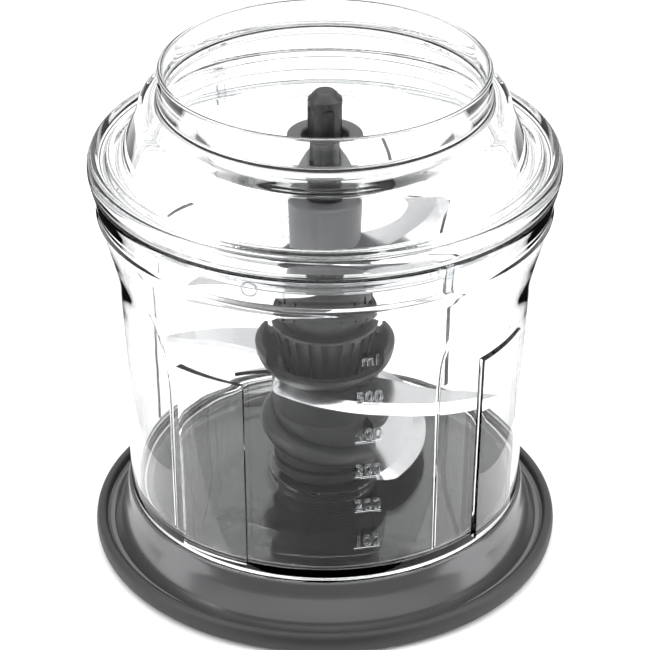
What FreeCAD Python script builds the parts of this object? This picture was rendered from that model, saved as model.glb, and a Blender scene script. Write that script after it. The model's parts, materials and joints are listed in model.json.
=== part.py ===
"""Chopper bowl of a food processor: base plate, clear bowl, clear lid and blade unit.

Millimetres, +Z up, origin at the centre of the underside of the base plate. Every sub-part is an
object of one document, and its sizes are bound to the named cells of the spreadsheet "sizes".
"""
import FreeCAD, Part
import Sketcher
import math
import os
import re

SIZES = {
    # base plate: z 0 is the table
    "foot_ring_inner": 57.0, "foot_ring_outer": 62.4, "foot_ring_top": 2.0,
    "grip_inner": 63.7, "grip_outer": 67.1, "grip_bottom": 0.5, "grip_top": 7.0, "grip_round": 1.3,
    "groove_rad": 62.2, "groove_z": 3.9, "slope_low": 60.6, "slope_low_z": 5.2,
    "seat_rad": 55.9, "seat_z": 16.5, "tray_wall": 2.2, "mat_rad": 50.0, "mat_thick": 0.5,
    # bowl
    "bowl_bottom": 16.8, "floor_under": 17.4, "floor_top": 19.5, "foot_in": 53.2, "foot_rad": 56.3,
    "waist_rad": 56.9, "shoulder_rad": 57.2, "shoulder_z": 79.0, "flare_rad": 58.6, "flare_z": 92.4,
    "skirt_rad": 62.2, "skirt_z": 102.0, "bead_rad": 63.0, "bead_z": 106.0, "bowl_rim_rad": 64.4,
    "bowl_rim_z": 116.0, "bore_low": 54.3, "bore_high": 54.9, "bowl_wall": 2.3, "rim_wall": 1.9,
    "boss_rad": 4.2, "boss_top": 21.0, "ring_rad": 16.4, "ring_in": 15.2, "ring_top": 20.3,
    "panel_low": 21.0, "panel_high": 79.5, "panel_step": 2.0, "panel_root": 55.6,
    "rib_deep": 0.9, "rib_wide": 1.2, "rib_high": 66.0,
    # pin and drive line
    "pin_rad": 2.5, "pin_low": 17.9, "pin_top": 98.0, "pin_gap": 0.05, "washer_rad": 4.0,
    "washer_top": 21.4, "unit_low": 21.7, "bush_wall": 1.0, "tube_rad": 4.5, "bush_top": 99.0,
    "core_rad": 2.4, "core_top": 134.0, "tip_rad": 4.76, "tip_shoulder": 136.7, "tip_top": 139.0,
    "tip_flat": 2.5, "flute_offset": 6.3, "flute_rad": 2.5, "flute_low": 112.0,
    # hubs, from the bowl floor upwards
    "sheet_thick": 1.3, "foot_hub_rad": 14.7, "blade_low_z": 25.0, "wing_rad": 14.7,
    "wing_top": 42.0, "ridge_rad": 18.9, "ridge_half": 2.9, "drum_rad": 15.1, "blade_mid_z": 51.6,
    "cup_low": 54.2, "cup_rad": 16.0, "ear_rad": 19.9, "ear_top": 63.0, "cup_front": 58.6,
    "knob_low": 11.7, "knob_high": 15.2, "knob_top": 69.5, "knob_slot": 1.3, "neck_rad": 11.9,
    "neck_top": 75.0, "hub_rad": 14.0, "hub_side": 80.0, "hub_top": 84.0, "hub_crown": 11.0,
    "sleeve_rad": 10.3, "sleeve_top": 106.5, "sleeve_edge": 0.7,
    "bend_x": -11.0, "bend_z": 78.0, "bend_angle": 27.0,
    # lid
    "guide_rad": 10.4, "guide_hole": 6.4, "guide_top": 126.0, "plate_top": 124.4, "plate_low": 122.6,
    "guide_neck": 7.6, "cup_ring_low": 118.6, "lid_rad": 64.75, "lid_low": 116.4, "lid_top": 122.0,
    "dome_foot": 56.5, "dome_rad": 50.8, "dome_z": 133.5, "lid_flat": 138.2, "collar_foot": 45.5,
    "collar_rad": 45.1, "collar_top": 146.5, "collar_wall": 1.6, "lid_wall": 2.0,
    "dish_rad": 33.0, "plug_rad": 58.6, "plug_low": 109.0, "seal_rad": 60.5,
    "seal_low": 111.0, "seal_top": 114.2,
}

doc = FreeCAD.newDocument("chopper_bowl")
sheet = doc.addObject("Spreadsheet::Sheet", "sizes")
for row, (name, value) in enumerate(SIZES.items(), start=1):
    sheet.set(f"A{row}", name)
    sheet.set(f"B{row}", str(value))
    sheet.setAlias(f"B{row}", name)
doc.recompute()


def size(expression):
    """The value of an expression in the sheet's names."""
    return float(sheet.evalExpression(str(expression)))


def link(expression):
    """The same expression as other objects write it."""
    return re.sub(r"\b([a-z]+(?:_[a-z]+)+)\b", r"sizes.\1", str(expression))


def new_body(label):
    body = doc.addObject("PartDesign::Body", label)
    body.Label = label
    return body


def plane_sketch(body, name, plane, offset=0.0):
    sketch = body.newObject("Sketcher::SketchObject", name)
    origin = [item for item in body.Origin.OriginFeatures if item.Role == plane][0]
    sketch.AttachmentSupport = [(origin, "")]
    sketch.MapMode = "FlatFace"
    if offset:
        sketch.setExpression("AttachmentOffset.Base.z", link(offset))
    return sketch


def place(sketch, geometry, point, axis, expression):
    """Fix one coordinate of a sketch point to an expression."""
    value = size(expression)
    if abs(value) < 1e-9:
        side = -2 if axis == "DistanceX" else -1
        sketch.addConstraint(Sketcher.Constraint("PointOnObject", geometry, point, side))
        return
    index = sketch.addConstraint(Sketcher.Constraint(axis, -1, 1, geometry, point, value))
    if isinstance(expression, str):
        sketch.setExpression(f"Constraints[{index}]", link(expression))


def outline(sketch, corners):
    """A closed outline of straight edges through the corners."""
    points = [FreeCAD.Vector(size(across), size(up), 0) for across, up in corners]
    count = len(points)
    lines = [Part.LineSegment(points[i], points[(i + 1) % count]) for i in range(count)]
    sketch.addGeometry(lines, False)
    for i in range(count):
        sketch.addConstraint(Sketcher.Constraint("Coincident", i, 2, (i + 1) % count, 1))
    for i, (across, up) in enumerate(corners):
        place(sketch, i, 1, "DistanceX", across)
        place(sketch, i, 1, "DistanceY", up)


def turned(label, corners):
    """A body turned about Z from an outline given as radius and height."""
    body = new_body(label)
    sketch = plane_sketch(body, label + "_outline", "XZ_Plane")
    outline(sketch, corners)
    turn = body.newObject("PartDesign::Revolution", label + "_turn")
    turn.Profile = sketch
    turn.ReferenceAxis = (sketch, ["V_Axis"])
    turn.Angle = 360
    doc.recompute()
    return body


def soften(body, radius, rings):
    """Round the circular edges that lie at the given radius and height."""
    base = body.Tip
    names = []
    for number, edge in enumerate(base.Shape.Edges, start=1):
        if not isinstance(edge.Curve, Part.Circle):
            continue
        for ring_rad, ring_z in rings:
            same_rad = abs(edge.Curve.Radius - size(ring_rad)) < 0.02
            if same_rad and abs(edge.Curve.Center.z - size(ring_z)) < 0.02:
                names.append(f"Edge{number}")
    fillet = body.newObject("PartDesign::Fillet", body.Label + "_rounding")
    fillet.Base = (base, names)
    fillet.setExpression("Radius", link(radius))
    doc.recompute()


def repeat(body, features, count):
    """Copy features evenly around Z."""
    pattern = body.newObject("PartDesign::PolarPattern", body.Label + "_pattern")
    pattern.Originals = features
    pattern.Axis = ([o for o in body.Origin.OriginFeatures if o.Role == "Z_Axis"][0], [""])
    pattern.Angle = 360
    pattern.Occurrences = count
    body.Tip = pattern
    doc.recompute()


def cut_slots(body, corners, width, count):
    """Cut a slot with the given side view through the wall, and repeat it around Z."""
    before = body.Shape.Volume
    sketch = plane_sketch(body, body.Label + "_slot", "XZ_Plane")
    outline(sketch, corners)
    pocket = body.newObject("PartDesign::Pocket", body.Label + "_cut")
    pocket.Profile = sketch
    pocket.Type = 0
    pocket.SideType = 2
    pocket.setExpression("Length", link(width))
    doc.recompute()
    if body.Shape.Volume >= before:
        raise RuntimeError(body.Label + ": the slot cuts nothing")
    if count > 1:
        repeat(body, [pocket], count)


def polar(radius, azimuth):
    """A point at an azimuth in degrees, measured from -Y towards +X."""
    angle = math.radians(azimuth)
    return radius * math.sin(angle), -radius * math.cos(angle)


# ---------------------------------------------------------------- base plate
foot_ring = turned("foot_ring", [
    ("foot_ring_inner", 0), ("foot_ring_outer", 0),
    ("foot_ring_outer", "foot_ring_top"), ("foot_ring_inner", "foot_ring_top")])

base_tray = turned("base_tray", [
    (0, "seat_z"), ("seat_rad - 0.6", "seat_z"), ("seat_rad", "seat_z - 0.3"),
    ("seat_rad + 0.4", "seat_z - 1.1"), ("slope_low - 0.5", "slope_low_z + 1.2"),
    ("slope_low", "slope_low_z"), ("groove_rad - 0.5", "groove_z + 0.2"),
    ("groove_rad", "groove_z"), ("grip_inner", "groove_z + 0.5"),
    ("grip_inner", "foot_ring_top"), ("foot_ring_inner", "foot_ring_top"),
    ("seat_rad - tray_wall", "seat_z - tray_wall"), (0, "seat_z - tray_wall")])

base_grip = turned("base_grip_rim", [
    ("grip_inner", "grip_bottom"), ("grip_outer - 0.9", "grip_bottom"),
    ("grip_outer", "grip_bottom + 2.7"), ("grip_outer - 0.7", "grip_top"),
    ("grip_inner", "grip_top - 0.4")])
soften(base_grip, "grip_round", [
    ("grip_outer - 0.9", "grip_bottom"), ("grip_outer", "grip_bottom + 2.7"),
    ("grip_outer - 0.7", "grip_top")])

seat_mat = turned("seat_mat", [
    (0, "seat_z"), ("mat_rad", "seat_z"), ("mat_rad", "seat_z + mat_thick"),
    (0, "seat_z + mat_thick")])

# ---------------------------------------------------------------- bowl
bowl = turned("bowl", [
    ("pin_rad", "floor_under"), ("foot_in - 0.6", "floor_under"), ("foot_in", "bowl_bottom"),
    ("foot_rad - 0.5", "bowl_bottom"), ("foot_rad", "bowl_bottom + 0.6"),
    ("foot_rad", "floor_top + 5"), ("waist_rad", "shoulder_z - 22"),
    ("shoulder_rad", "shoulder_z"), ("shoulder_rad + 0.5", "shoulder_z + 7"),
    ("flare_rad", "flare_z"), ("flare_rad + 1.7", "flare_z + 3.2"),
    ("skirt_rad - 0.6", "skirt_z - 3"), ("skirt_rad", "skirt_z"),
    ("skirt_rad + 0.2", "bead_z - 1.4"), ("bead_rad", "bead_z"),
    ("skirt_rad + 0.3", "bead_z + 1.4"), ("bowl_rim_rad - 0.6", "bowl_rim_z - 3"),
    ("bowl_rim_rad", "bowl_rim_z"), ("bowl_rim_rad - rim_wall", "bowl_rim_z"),
    ("skirt_rad - bowl_wall", "bead_z"), ("skirt_rad - bowl_wall - 0.3", "skirt_z"),
    ("skirt_rad - bowl_wall - 1.1", "skirt_z - 3.6"), ("flare_rad - 0.8", "flare_z + 2.8"),
    ("flare_rad - bowl_wall - 0.2", "flare_z - 0.6"), ("bore_high + 0.5", "shoulder_z + 7"), ("bore_high", "shoulder_z - 16"),
    ("bore_low", "floor_top + 1.3"), ("bore_low - 1.3", "floor_top"),
    ("ring_rad", "floor_top"), ("ring_rad - 0.3", "ring_top"), ("ring_in + 0.3", "ring_top"),
    ("ring_in", "floor_top"), ("boss_rad", "floor_top"), ("boss_rad", "boss_top"),
    ("pin_rad", "boss_top")])

PANEL_SPANS = [(-41.5, -22.0), (45.5, 67.0)]
PANEL_STEPS = 6
RIB_AZIMUTHS = [-48.0, 32.5]


def panel_pad(body, start, end):
    """A grip panel: twice as proud of the wall at its start edge as at its end."""
    sketch = plane_sketch(body, f"panel_{int(abs(start))}", "XY_Plane", "panel_low")
    proud = size("waist_rad + panel_step")
    level = size("waist_rad + panel_step / 2")
    turns = [start + (end - start) * i / PANEL_STEPS for i in range(PANEL_STEPS + 1)]
    outer = [polar(proud + (level - proud) * i / PANEL_STEPS, turn) for i, turn in enumerate(turns)]
    inner = [polar(size("panel_root"), turn) for turn in reversed(turns)]
    outline(sketch, outer + inner)
    pad = body.newObject("PartDesign::Pad", f"panel_pad_{int(abs(start))}")
    pad.Profile = sketch
    pad.setExpression("Length", link("panel_high - panel_low"))
    doc.recompute()
    return pad


def rib_pad(body, azimuth):
    """A thin upright rib on the inside of the wall."""
    sketch = plane_sketch(body, f"rib_{int(abs(azimuth))}", "XY_Plane", "floor_top")
    half = math.degrees(size("rib_wide") / 2 / size("bore_low"))
    inner, outer = size("bore_low - rib_deep"), size("bore_low + 1.2")
    outline(sketch, [polar(inner, azimuth - half), polar(inner, azimuth + half),
                     polar(outer, azimuth + half), polar(outer, azimuth - half)])
    pad = body.newObject("PartDesign::Pad", f"rib_pad_{int(abs(azimuth))}")
    pad.Profile = sketch
    pad.setExpression("Length", link("rib_high - floor_top"))
    doc.recompute()
    return pad


wall_pieces = [panel_pad(bowl, start, end) for start, end in PANEL_SPANS]
repeat(bowl, wall_pieces, 2)
for rib_azimuth in RIB_AZIMUTHS:
    rib_pad(bowl, rib_azimuth)

pivot_pin = turned("pivot_pin", [
    (0, "pin_low"), ("pin_rad", "pin_low"), ("pin_rad", "pin_top - 0.6"),
    ("pin_rad - 0.6", "pin_top"), (0, "pin_top")])
thrust_washer = turned("thrust_washer", [
    ("pin_rad", "boss_top"), ("washer_rad", "boss_top"),
    ("washer_rad", "washer_top"), ("pin_rad", "washer_top")])

# ---------------------------------------------------------------- blade unit: drive line
bearing_bush = turned("bearing_bush", [
    ("pin_rad + pin_gap", "unit_low"), ("pin_rad + bush_wall", "unit_low"),
    ("pin_rad + bush_wall", "bush_top"), ("pin_rad + pin_gap", "bush_top")])
stack_tube = turned("stack_tube", [
    ("pin_rad + bush_wall", "unit_low"), ("tube_rad", "unit_low"),
    ("tube_rad", "sleeve_top"), ("pin_rad + bush_wall", "sleeve_top")])
drive_core = turned("drive_core", [
    (0, "bush_top"), ("pin_rad + bush_wall", "bush_top"),
    ("pin_rad + bush_wall", "sleeve_top"), ("core_rad", "sleeve_top"),
    ("core_rad", "core_top"), (0, "core_top")])
drive_spindle = turned("drive_spindle", [
    ("core_rad", "sleeve_top"), ("tip_rad", "sleeve_top"), ("tip_rad", "tip_shoulder"),
    ("tip_flat", "tip_top"), (0, "tip_top"), (0, "core_top"), ("core_rad", "core_top")])

FLUTES = 5
FLUTE_AZIMUTH = 12.0


def cut_flutes(body):
    """Round-bottomed flutes down the splined tip."""
    before = body.Shape.Volume
    sketch = plane_sketch(body, "flute_round", "XY_Plane", "flute_low")
    across, up = polar(size("flute_offset"), FLUTE_AZIMUTH)
    middle = FreeCAD.Vector(across, up, 0)
    sketch.addGeometry(Part.Circle(middle, FreeCAD.Vector(0, 0, 1), size("flute_rad")), False)
    place(sketch, 0, 3, "DistanceX", across)
    place(sketch, 0, 3, "DistanceY", up)
    index = sketch.addConstraint(Sketcher.Constraint("Radius", 0, size("flute_rad")))
    sketch.setExpression(f"Constraints[{index}]", link("flute_rad"))
    pocket = body.newObject("PartDesign::Pocket", "flute_cut")
    pocket.Profile = sketch
    pocket.Type = 0
    pocket.setExpression("Length", link("tip_shoulder - 1.2 - flute_low"))
    pocket.Reversed = True
    doc.recompute()
    if body.Shape.Volume >= before:
        raise RuntimeError("the flutes cut nothing")
    repeat(body, [pocket], FLUTES)


cut_flutes(drive_spindle)

# ---------------------------------------------------------------- blade unit: hubs
hub_foot = turned("hub_foot", [
    ("tube_rad", "unit_low"), ("foot_hub_rad - 0.6", "unit_low"),
    ("foot_hub_rad", "unit_low + 0.6"), ("foot_hub_rad", "blade_low_z"),
    ("tube_rad", "blade_low_z")])
middle_drum = turned("middle_drum", [
    ("tube_rad", "wing_top"), ("drum_rad", "wing_top"), ("drum_rad", "blade_mid_z"),
    ("tube_rad", "blade_mid_z")])
saddle_wing = turned("saddle_wing", [
    ("tube_rad", "blade_mid_z + sheet_thick"), ("cup_rad - 0.7", "blade_mid_z + sheet_thick"),
    ("cup_rad", "cup_low + 0.4"), ("cup_rad + 2.2", "cup_low + 2.6"),
    ("ear_rad - 0.3", "cup_low + 5.4"), ("ear_rad", "ear_top - 0.7"),
    ("ear_rad - 0.3", "ear_top"), ("ear_rad - 1.8", "ear_top"), ("ear_rad - 2.2", "ear_top - 0.7"),
    ("ear_rad - 2.6", "cup_low + 5.6"), ("cup_rad + 0.1", "cup_low + 2.8"),
    ("cup_rad - 2.4", "cup_low"), ("tube_rad", "cup_low")])
cut_slots(saddle_wing, [
    (-14.5, "cup_front"), (14.5, "cup_front"), (16.4, "cup_front + 2.4"), (16.8, "ear_top + 1"),
    (-16.8, "ear_top + 1"), (-16.4, "cup_front + 2.4")], 60.0, 1)
fluted_knob = turned("fluted_knob", [
    ("tube_rad", "cup_low"), ("knob_low", "cup_low"), ("knob_high", "knob_top"),
    ("tube_rad", "knob_top")])
cut_slots(fluted_knob, [
    ("knob_low - 0.9", "cup_low - 1"), ("knob_low + 2", "cup_low - 1"),
    ("knob_high + 2", "knob_top + 1"), ("knob_high - 0.9", "knob_top + 1")], "knob_slot", 24)
neck_spacer = turned("neck_spacer", [
    ("tube_rad", "knob_top"), ("neck_rad", "knob_top"), ("neck_rad", "neck_top"),
    ("tube_rad", "neck_top")])
hub_block = turned("hub_block", [
    ("tube_rad", "neck_top"), ("hub_rad", "neck_top"), ("hub_rad", "hub_side"),
    ("hub_rad - 0.9", "hub_side + 2.2"), ("hub_crown", "hub_top"), ("tube_rad", "hub_top")])
cut_slots(hub_block, [
    ("hub_rad - 0.8", "neck_top - 1"), ("hub_rad + 1", "neck_top - 1"),
    ("hub_rad + 1", "neck_top + 2.6"), ("hub_rad - 0.8", "neck_top + 2.6")], 1.0, 20)
sleeve_block = turned("sleeve_block", [
    ("tube_rad", "hub_top"), ("sleeve_rad", "hub_top"), ("sleeve_rad", "sleeve_top - sleeve_edge"),
    ("sleeve_rad - sleeve_edge", "sleeve_top"), ("tube_rad", "sleeve_top")])

# the lower wing: a drum with two rounded ridges that wind down around it
RIDGE_START, RIDGE_END = -125.0, 52.0
RIDGE_HIGH, RIDGE_LOW = 39.0, 29.4
RIDGE_SECTIONS = 10


def ridge_section(share):
    """One rounded section of the ridge, in the upright plane at its azimuth."""
    azimuth = RIDGE_START + (RIDGE_END - RIDGE_START) * share
    middle = RIDGE_HIGH + (RIDGE_LOW - RIDGE_HIGH) * share
    half = size("ridge_half")
    reach = size("ridge_rad") - 1.4 * (2 * share - 1) ** 2
    inside = size("wing_rad") - 3.0
    corners = [(inside, -half), (reach - 1.4, -half), (reach, -0.3), (reach - 1.0, 1.6),
               (inside + 1.5, half)]
    points = []
    for radius, lift in corners:
        across, up = polar(radius, azimuth)
        points.append(FreeCAD.Vector(across, up, middle + lift))
    return Part.makePolygon(points + points[:1])


def helical_wing_shape():
    low = size("blade_low_z + sheet_thick")
    high = size("wing_top") - low
    seat = FreeCAD.Vector(0, 0, low)
    drum = Part.makeCylinder(size("wing_rad"), high, seat)
    sections = [ridge_section(i / (RIDGE_SECTIONS - 1)) for i in range(RIDGE_SECTIONS)]
    ridge = Part.makeLoft(sections, True, False)
    other = ridge.copy()
    other.rotate(FreeCAD.Vector(0, 0, 0), FreeCAD.Vector(0, 0, 1), 180)
    tube = Part.makeCylinder(size("tube_rad"), high, seat)
    return drum.fuse([ridge, other]).cut(tube).removeSplitter()


helical_wing = doc.addObject("Part::Feature", "helical_wing")
helical_wing.Label = "helical_wing"
helical_wing.Shape = helical_wing_shape()

# ---------------------------------------------------------------- blades
LOWER_EDGE = [(20.5, 43), (25.2, 51), (25.8, 64), (27, 80), (29.2, 97), (31.9, 111), (35.3, 124),
              (39.2, 136), (44.2, 147), (47.5, 158), (49.3, 175), (49.9, 195), (49.6, 214)]
LOWER_BACK = [(44.5, 200), (42, 180), (38, 160), (29, 145), (18, 140), (13.5, 165), (13.5, 200),
              (13.5, 240), (13.5, 280), (13.5, 320), (13.5, 0), (16, 30)]
MIDDLE_ARM = [(16.0, -62), (18.3, -50), (18.2, -36), (18.6, -20), (20.5, 0), (22.8, 13), (26, 25),
              (29.9, 36), (36, 47), (41.8, 56), (46.8, 63), (49.9, 70.8), (42.4, 70.2),
              (34.3, 68), (24.5, 68), (16.0, 80)]


def blade_pad(label, points, height):
    """A flat steel sheet with the bore of the stack tube."""
    body = new_body(label)
    sketch = plane_sketch(body, label + "_outline", "XY_Plane", height)
    outline(sketch, points)
    count = len(points)
    sketch.addGeometry(Part.Circle(FreeCAD.Vector(0, 0, 0), FreeCAD.Vector(0, 0, 1),
                                   size("tube_rad")), False)
    sketch.addConstraint(Sketcher.Constraint("Coincident", count, 3, -1, 1))
    index = sketch.addConstraint(Sketcher.Constraint("Radius", count, size("tube_rad")))
    sketch.setExpression(f"Constraints[{index}]", link("tube_rad"))
    pad = body.newObject("PartDesign::Pad", label + "_pad")
    pad.Profile = sketch
    pad.setExpression("Length", link("sheet_thick"))
    doc.recompute()
    return body


lower_blade = blade_pad("lower_blade", [polar(*p) for p in LOWER_EDGE + LOWER_BACK], "blade_low_z")
middle_points = [polar(*p) for p in MIDDLE_ARM]
middle_points += [(-across, -up) for across, up in middle_points]
middle_blade = blade_pad("middle_blade", middle_points, "blade_mid_z")

# the upper sheet: a level arm to the left, and an arm that is bent up along a straight line
LEVEL_ARM = [(0.0, -9.6), (0.0, 6.2), (-16.0, 6.0), (-27.0, -2.6), (-29.2, -5.6), (-22.0, -8.6)]
RAISED_ARM = [(0.0, -9.6), (7.0, -14.6), (15.0, -16.4), (26.0, -17.0), (38.0, -15.0),
              (47.0, -9.0), (52.0, -1.0), (50.5, 7.0), (45.5, 13.0), (38.0, 17.5),
              (39.5, 9.0), (37.0, 3.0), (31.0, 1.0), (22.0, 3.0), (11.0, 6.8), (0.0, 6.2)]


def sheet_face(points):
    corners = [FreeCAD.Vector(across, up, 0) for across, up in points]
    return Part.Face(Part.makePolygon(corners + corners[:1]))


def upper_blade_shape(margin=0.0):
    """The bent sheet in its place; a margin makes the cutter for the hub's slot."""
    thick = size("sheet_thick")
    lift = FreeCAD.Vector(0, 0, thick)
    level = sheet_face(LEVEL_ARM).extrude(lift)
    raised = sheet_face(RAISED_ARM).extrude(lift)
    raised.rotate(FreeCAD.Vector(0, 0, 0), FreeCAD.Vector(0, 1, 0), -size("bend_angle"))
    wedge_angle = math.radians(size("bend_angle"))
    wedge = [FreeCAD.Vector(0, -9.6, 0), FreeCAD.Vector(0, -9.6, thick),
             FreeCAD.Vector(-thick * math.sin(wedge_angle), -9.6, thick * math.cos(wedge_angle))]
    filler = Part.Face(Part.makePolygon(wedge + wedge[:1])).extrude(FreeCAD.Vector(0, 15.8, 0))
    blade = level.fuse([raised, filler]).removeSplitter()
    blade.translate(FreeCAD.Vector(size("bend_x"), 0, size("bend_z")))
    return blade


bore_seat = FreeCAD.Vector(0, 0, size("neck_top"))
bore = Part.makeCylinder(size("tube_rad"), 40, bore_seat)
upper_blade = doc.addObject("Part::Feature", "upper_blade")
upper_blade.Label = "upper_blade"
upper_blade.Shape = upper_blade_shape().cut(bore)


def slotted(label, block):
    """The block with the slot that the bent sheet fills."""
    cut = doc.addObject("Part::Cut", label)
    cut.Label = label
    cut.Base = block
    cut.Tool = upper_blade
    doc.recompute()
    return cut


upper_hub = slotted("upper_hub", hub_block)
drive_sleeve = slotted("drive_sleeve", sleeve_block)

# ---------------------------------------------------------------- lid and its guide bush
lid_bush = turned("lid_bush", [
    ("guide_hole", "plate_low - 0.3"), ("guide_neck", "plate_low - 0.3"),
    ("guide_neck", "plate_top + 0.3"), ("guide_rad", "plate_top + 0.3"),
    ("guide_rad", "guide_top - 0.3"), ("guide_rad - 0.3", "guide_top"),
    ("guide_hole + 0.4", "guide_top"), ("guide_hole", "guide_top - 0.4")])
bush_retainer = turned("bush_retainer", [
    ("guide_hole", "plate_low - 0.3"), ("guide_rad", "plate_low - 0.3"),
    ("guide_rad", "plate_low - 1"), ("guide_hole + 0.9", "cup_ring_low"),
    ("guide_hole", "cup_ring_low")])
lid = turned("lid", [
    ("guide_neck + 0.3", "plate_low"), ("dish_rad", "plate_low"),
    ("collar_rad - collar_wall - 2.5", "lid_flat - 6"), ("collar_foot", "lid_flat - lid_wall"),
    ("dome_rad - 3.2", "lid_flat - lid_wall"), ("dome_rad - lid_wall", "dome_z - 0.4"),
    ("dome_foot - lid_wall", "lid_low + 2.4"), ("dome_foot - 0.8", "plug_low"),
    ("plug_rad - 0.4", "plug_low"), ("plug_rad", "plug_low + 0.6"),
    ("plug_rad", "lid_low"), ("lid_rad - 0.5", "lid_low"), ("lid_rad", "lid_low + 0.8"),
    ("lid_rad", "lid_top - 1.4"), ("lid_rad - 0.9", "lid_top"), ("lid_rad - 2.6", "lid_top"),
    ("lid_rad - 3.6", "lid_top - 1.2"), ("lid_rad - 5", "lid_top - 1.2"),
    ("lid_rad - 5.6", "lid_top - 0.2"), ("lid_rad - 6.6", "lid_top - 0.2"),
    ("dome_foot", "lid_top - 1"), ("dome_rad", "dome_z"), ("dome_rad - 0.6", "dome_z + 3.2"),
    ("dome_rad - 2.4", "lid_flat"), ("collar_foot", "lid_flat"),
    ("collar_rad", "lid_flat + 0.6"), ("collar_rad", "collar_top - 0.6"),
    ("collar_rad - 0.6", "collar_top"), ("collar_rad - collar_wall", "collar_top - 0.3"),
    ("collar_rad - collar_wall", "lid_flat - 2"),
    ("collar_rad - collar_wall - 3.2", "lid_flat - 5"),
    ("dish_rad - 1.4", "plate_top"), ("guide_neck + 0.3", "plate_top")])
lid_seal = turned("lid_seal", [
    ("plug_rad", "seal_low"), ("seal_rad", "seal_low + 0.6"), ("seal_rad", "seal_top - 0.6"),
    ("plug_rad", "seal_top")])

# ---------------------------------------------------------------- check and write
NODES = [foot_ring, base_tray, base_grip, seat_mat, bowl, pivot_pin, thrust_washer, bearing_bush,
         stack_tube, drive_core, drive_spindle, hub_foot, lower_blade, helical_wing, middle_drum,
         middle_blade, saddle_wing, fluted_knob, neck_spacer, upper_hub, upper_blade,
         drive_sleeve, lid_bush, bush_retainer, lid, lid_seal]
doc.recompute()
for item in doc.Objects:
    if {"Invalid", "Error"} & set(item.State):
        raise RuntimeError(f"{item.Label} failed to compute: {item.State}")
os.makedirs("parts", exist_ok=True)
for node in NODES:
    shape = node.Shape
    if shape.isNull() or not shape.isValid() or len(shape.Solids) != 1:
        raise RuntimeError(f"{node.Label}: {len(shape.Solids)} solids, valid {shape.isValid()}")
    shape.exportStep(f"parts/{node.Label}.step")
    box = shape.BoundBox
    print(f"{node.Label:16s} {shape.Volume:10.1f} mm3  z {box.ZMin:6.1f} to {box.ZMax:6.1f}"
          f"  across {box.XLength:6.1f} x {box.YLength:6.1f}")
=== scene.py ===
# %% [markdown]
# # A clear chopper bowl of a food processor
#
# The object is a clear bowl on a dark base plate, under a clear domed lid, with a stack of steel
# blades on plastic hubs inside. The measured model is loaded first as a fixed frame. Almost every
# piece is round, so most of the lesson is about one tool, Spin, and about clear plastic.

# %% Load the fixed frame
import json
import math
import bpy
from mathutils import Matrix, Vector

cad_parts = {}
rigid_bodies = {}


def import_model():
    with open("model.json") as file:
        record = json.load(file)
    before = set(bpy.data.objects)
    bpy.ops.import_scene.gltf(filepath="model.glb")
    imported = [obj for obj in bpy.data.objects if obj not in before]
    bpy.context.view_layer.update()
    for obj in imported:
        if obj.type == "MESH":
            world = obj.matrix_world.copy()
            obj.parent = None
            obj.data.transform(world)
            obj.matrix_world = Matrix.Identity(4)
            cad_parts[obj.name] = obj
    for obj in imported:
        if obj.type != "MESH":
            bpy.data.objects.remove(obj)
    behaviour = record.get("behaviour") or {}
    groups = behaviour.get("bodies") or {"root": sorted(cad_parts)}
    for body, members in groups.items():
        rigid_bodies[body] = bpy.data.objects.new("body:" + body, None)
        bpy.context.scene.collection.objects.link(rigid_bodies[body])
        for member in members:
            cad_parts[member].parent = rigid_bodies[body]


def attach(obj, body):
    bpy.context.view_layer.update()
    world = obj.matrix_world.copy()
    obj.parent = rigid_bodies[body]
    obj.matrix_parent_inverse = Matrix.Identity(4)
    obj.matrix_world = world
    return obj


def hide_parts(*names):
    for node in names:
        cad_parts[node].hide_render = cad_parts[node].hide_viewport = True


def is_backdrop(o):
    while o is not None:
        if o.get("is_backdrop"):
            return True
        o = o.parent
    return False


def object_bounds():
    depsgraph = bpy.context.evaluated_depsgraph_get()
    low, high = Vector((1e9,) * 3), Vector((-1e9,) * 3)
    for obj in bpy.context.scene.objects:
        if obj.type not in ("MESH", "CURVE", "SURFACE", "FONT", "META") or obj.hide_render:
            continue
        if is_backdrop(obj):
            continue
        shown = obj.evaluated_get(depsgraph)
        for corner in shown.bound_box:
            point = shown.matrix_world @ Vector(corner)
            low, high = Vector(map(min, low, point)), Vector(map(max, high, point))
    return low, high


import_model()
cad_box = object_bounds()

MM = 0.001
print("height of the model in mm:", round((cad_box[1][2] - cad_box[0][2]) / MM, 1))

# %% [markdown]
# The camera comes first. A long lens from about 0.8 m keeps the rims nearly as wide at the top as
# at the bottom, and it looks down by 30 degrees, so that the inside of the bowl can be seen.

# %% The camera
bpy.ops.object.camera_add(location=(0, -0.648, 0.4451),
                          rotation=(math.radians(59.67), 0, 0))
camera = bpy.context.object
camera.name = "camera"
camera.data.sensor_width = 36
camera.data.lens = 147.28
camera.data.clip_start = 0.01
bpy.context.scene.camera = camera
print("camera distance in m:", round(camera.location.length, 3))

# %% [markdown]
# Round pieces are drawn like a potter's profile: one point is pulled out of a small plane, extruded
# from corner to corner, its corners are rounded with a vertex bevel, and the closed outline is spun
# around the upright axis. A corner is given as radius, height and rounding in millimetres. Spin was
# chosen instead of a Screw modifier because the result is an ordinary mesh that can be worked on.

# %% Helpers for selecting and editing
STEPS = 160


def deselect_all():
    if bpy.context.object and bpy.context.object.mode == "EDIT":
        bpy.ops.object.mode_set(mode="OBJECT")
    bpy.ops.object.select_all(action="DESELECT")


def select_points(piece, test):
    """Select the points of a piece, in edit mode, whose place passes the test."""
    bpy.ops.mesh.select_all(action="DESELECT")
    bpy.ops.object.mode_set(mode="OBJECT")
    count = 0
    for vertex in piece.data.vertices:
        vertex.select = test(vertex.co)
        count += vertex.select
    bpy.ops.object.mode_set(mode="EDIT")
    return count


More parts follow.
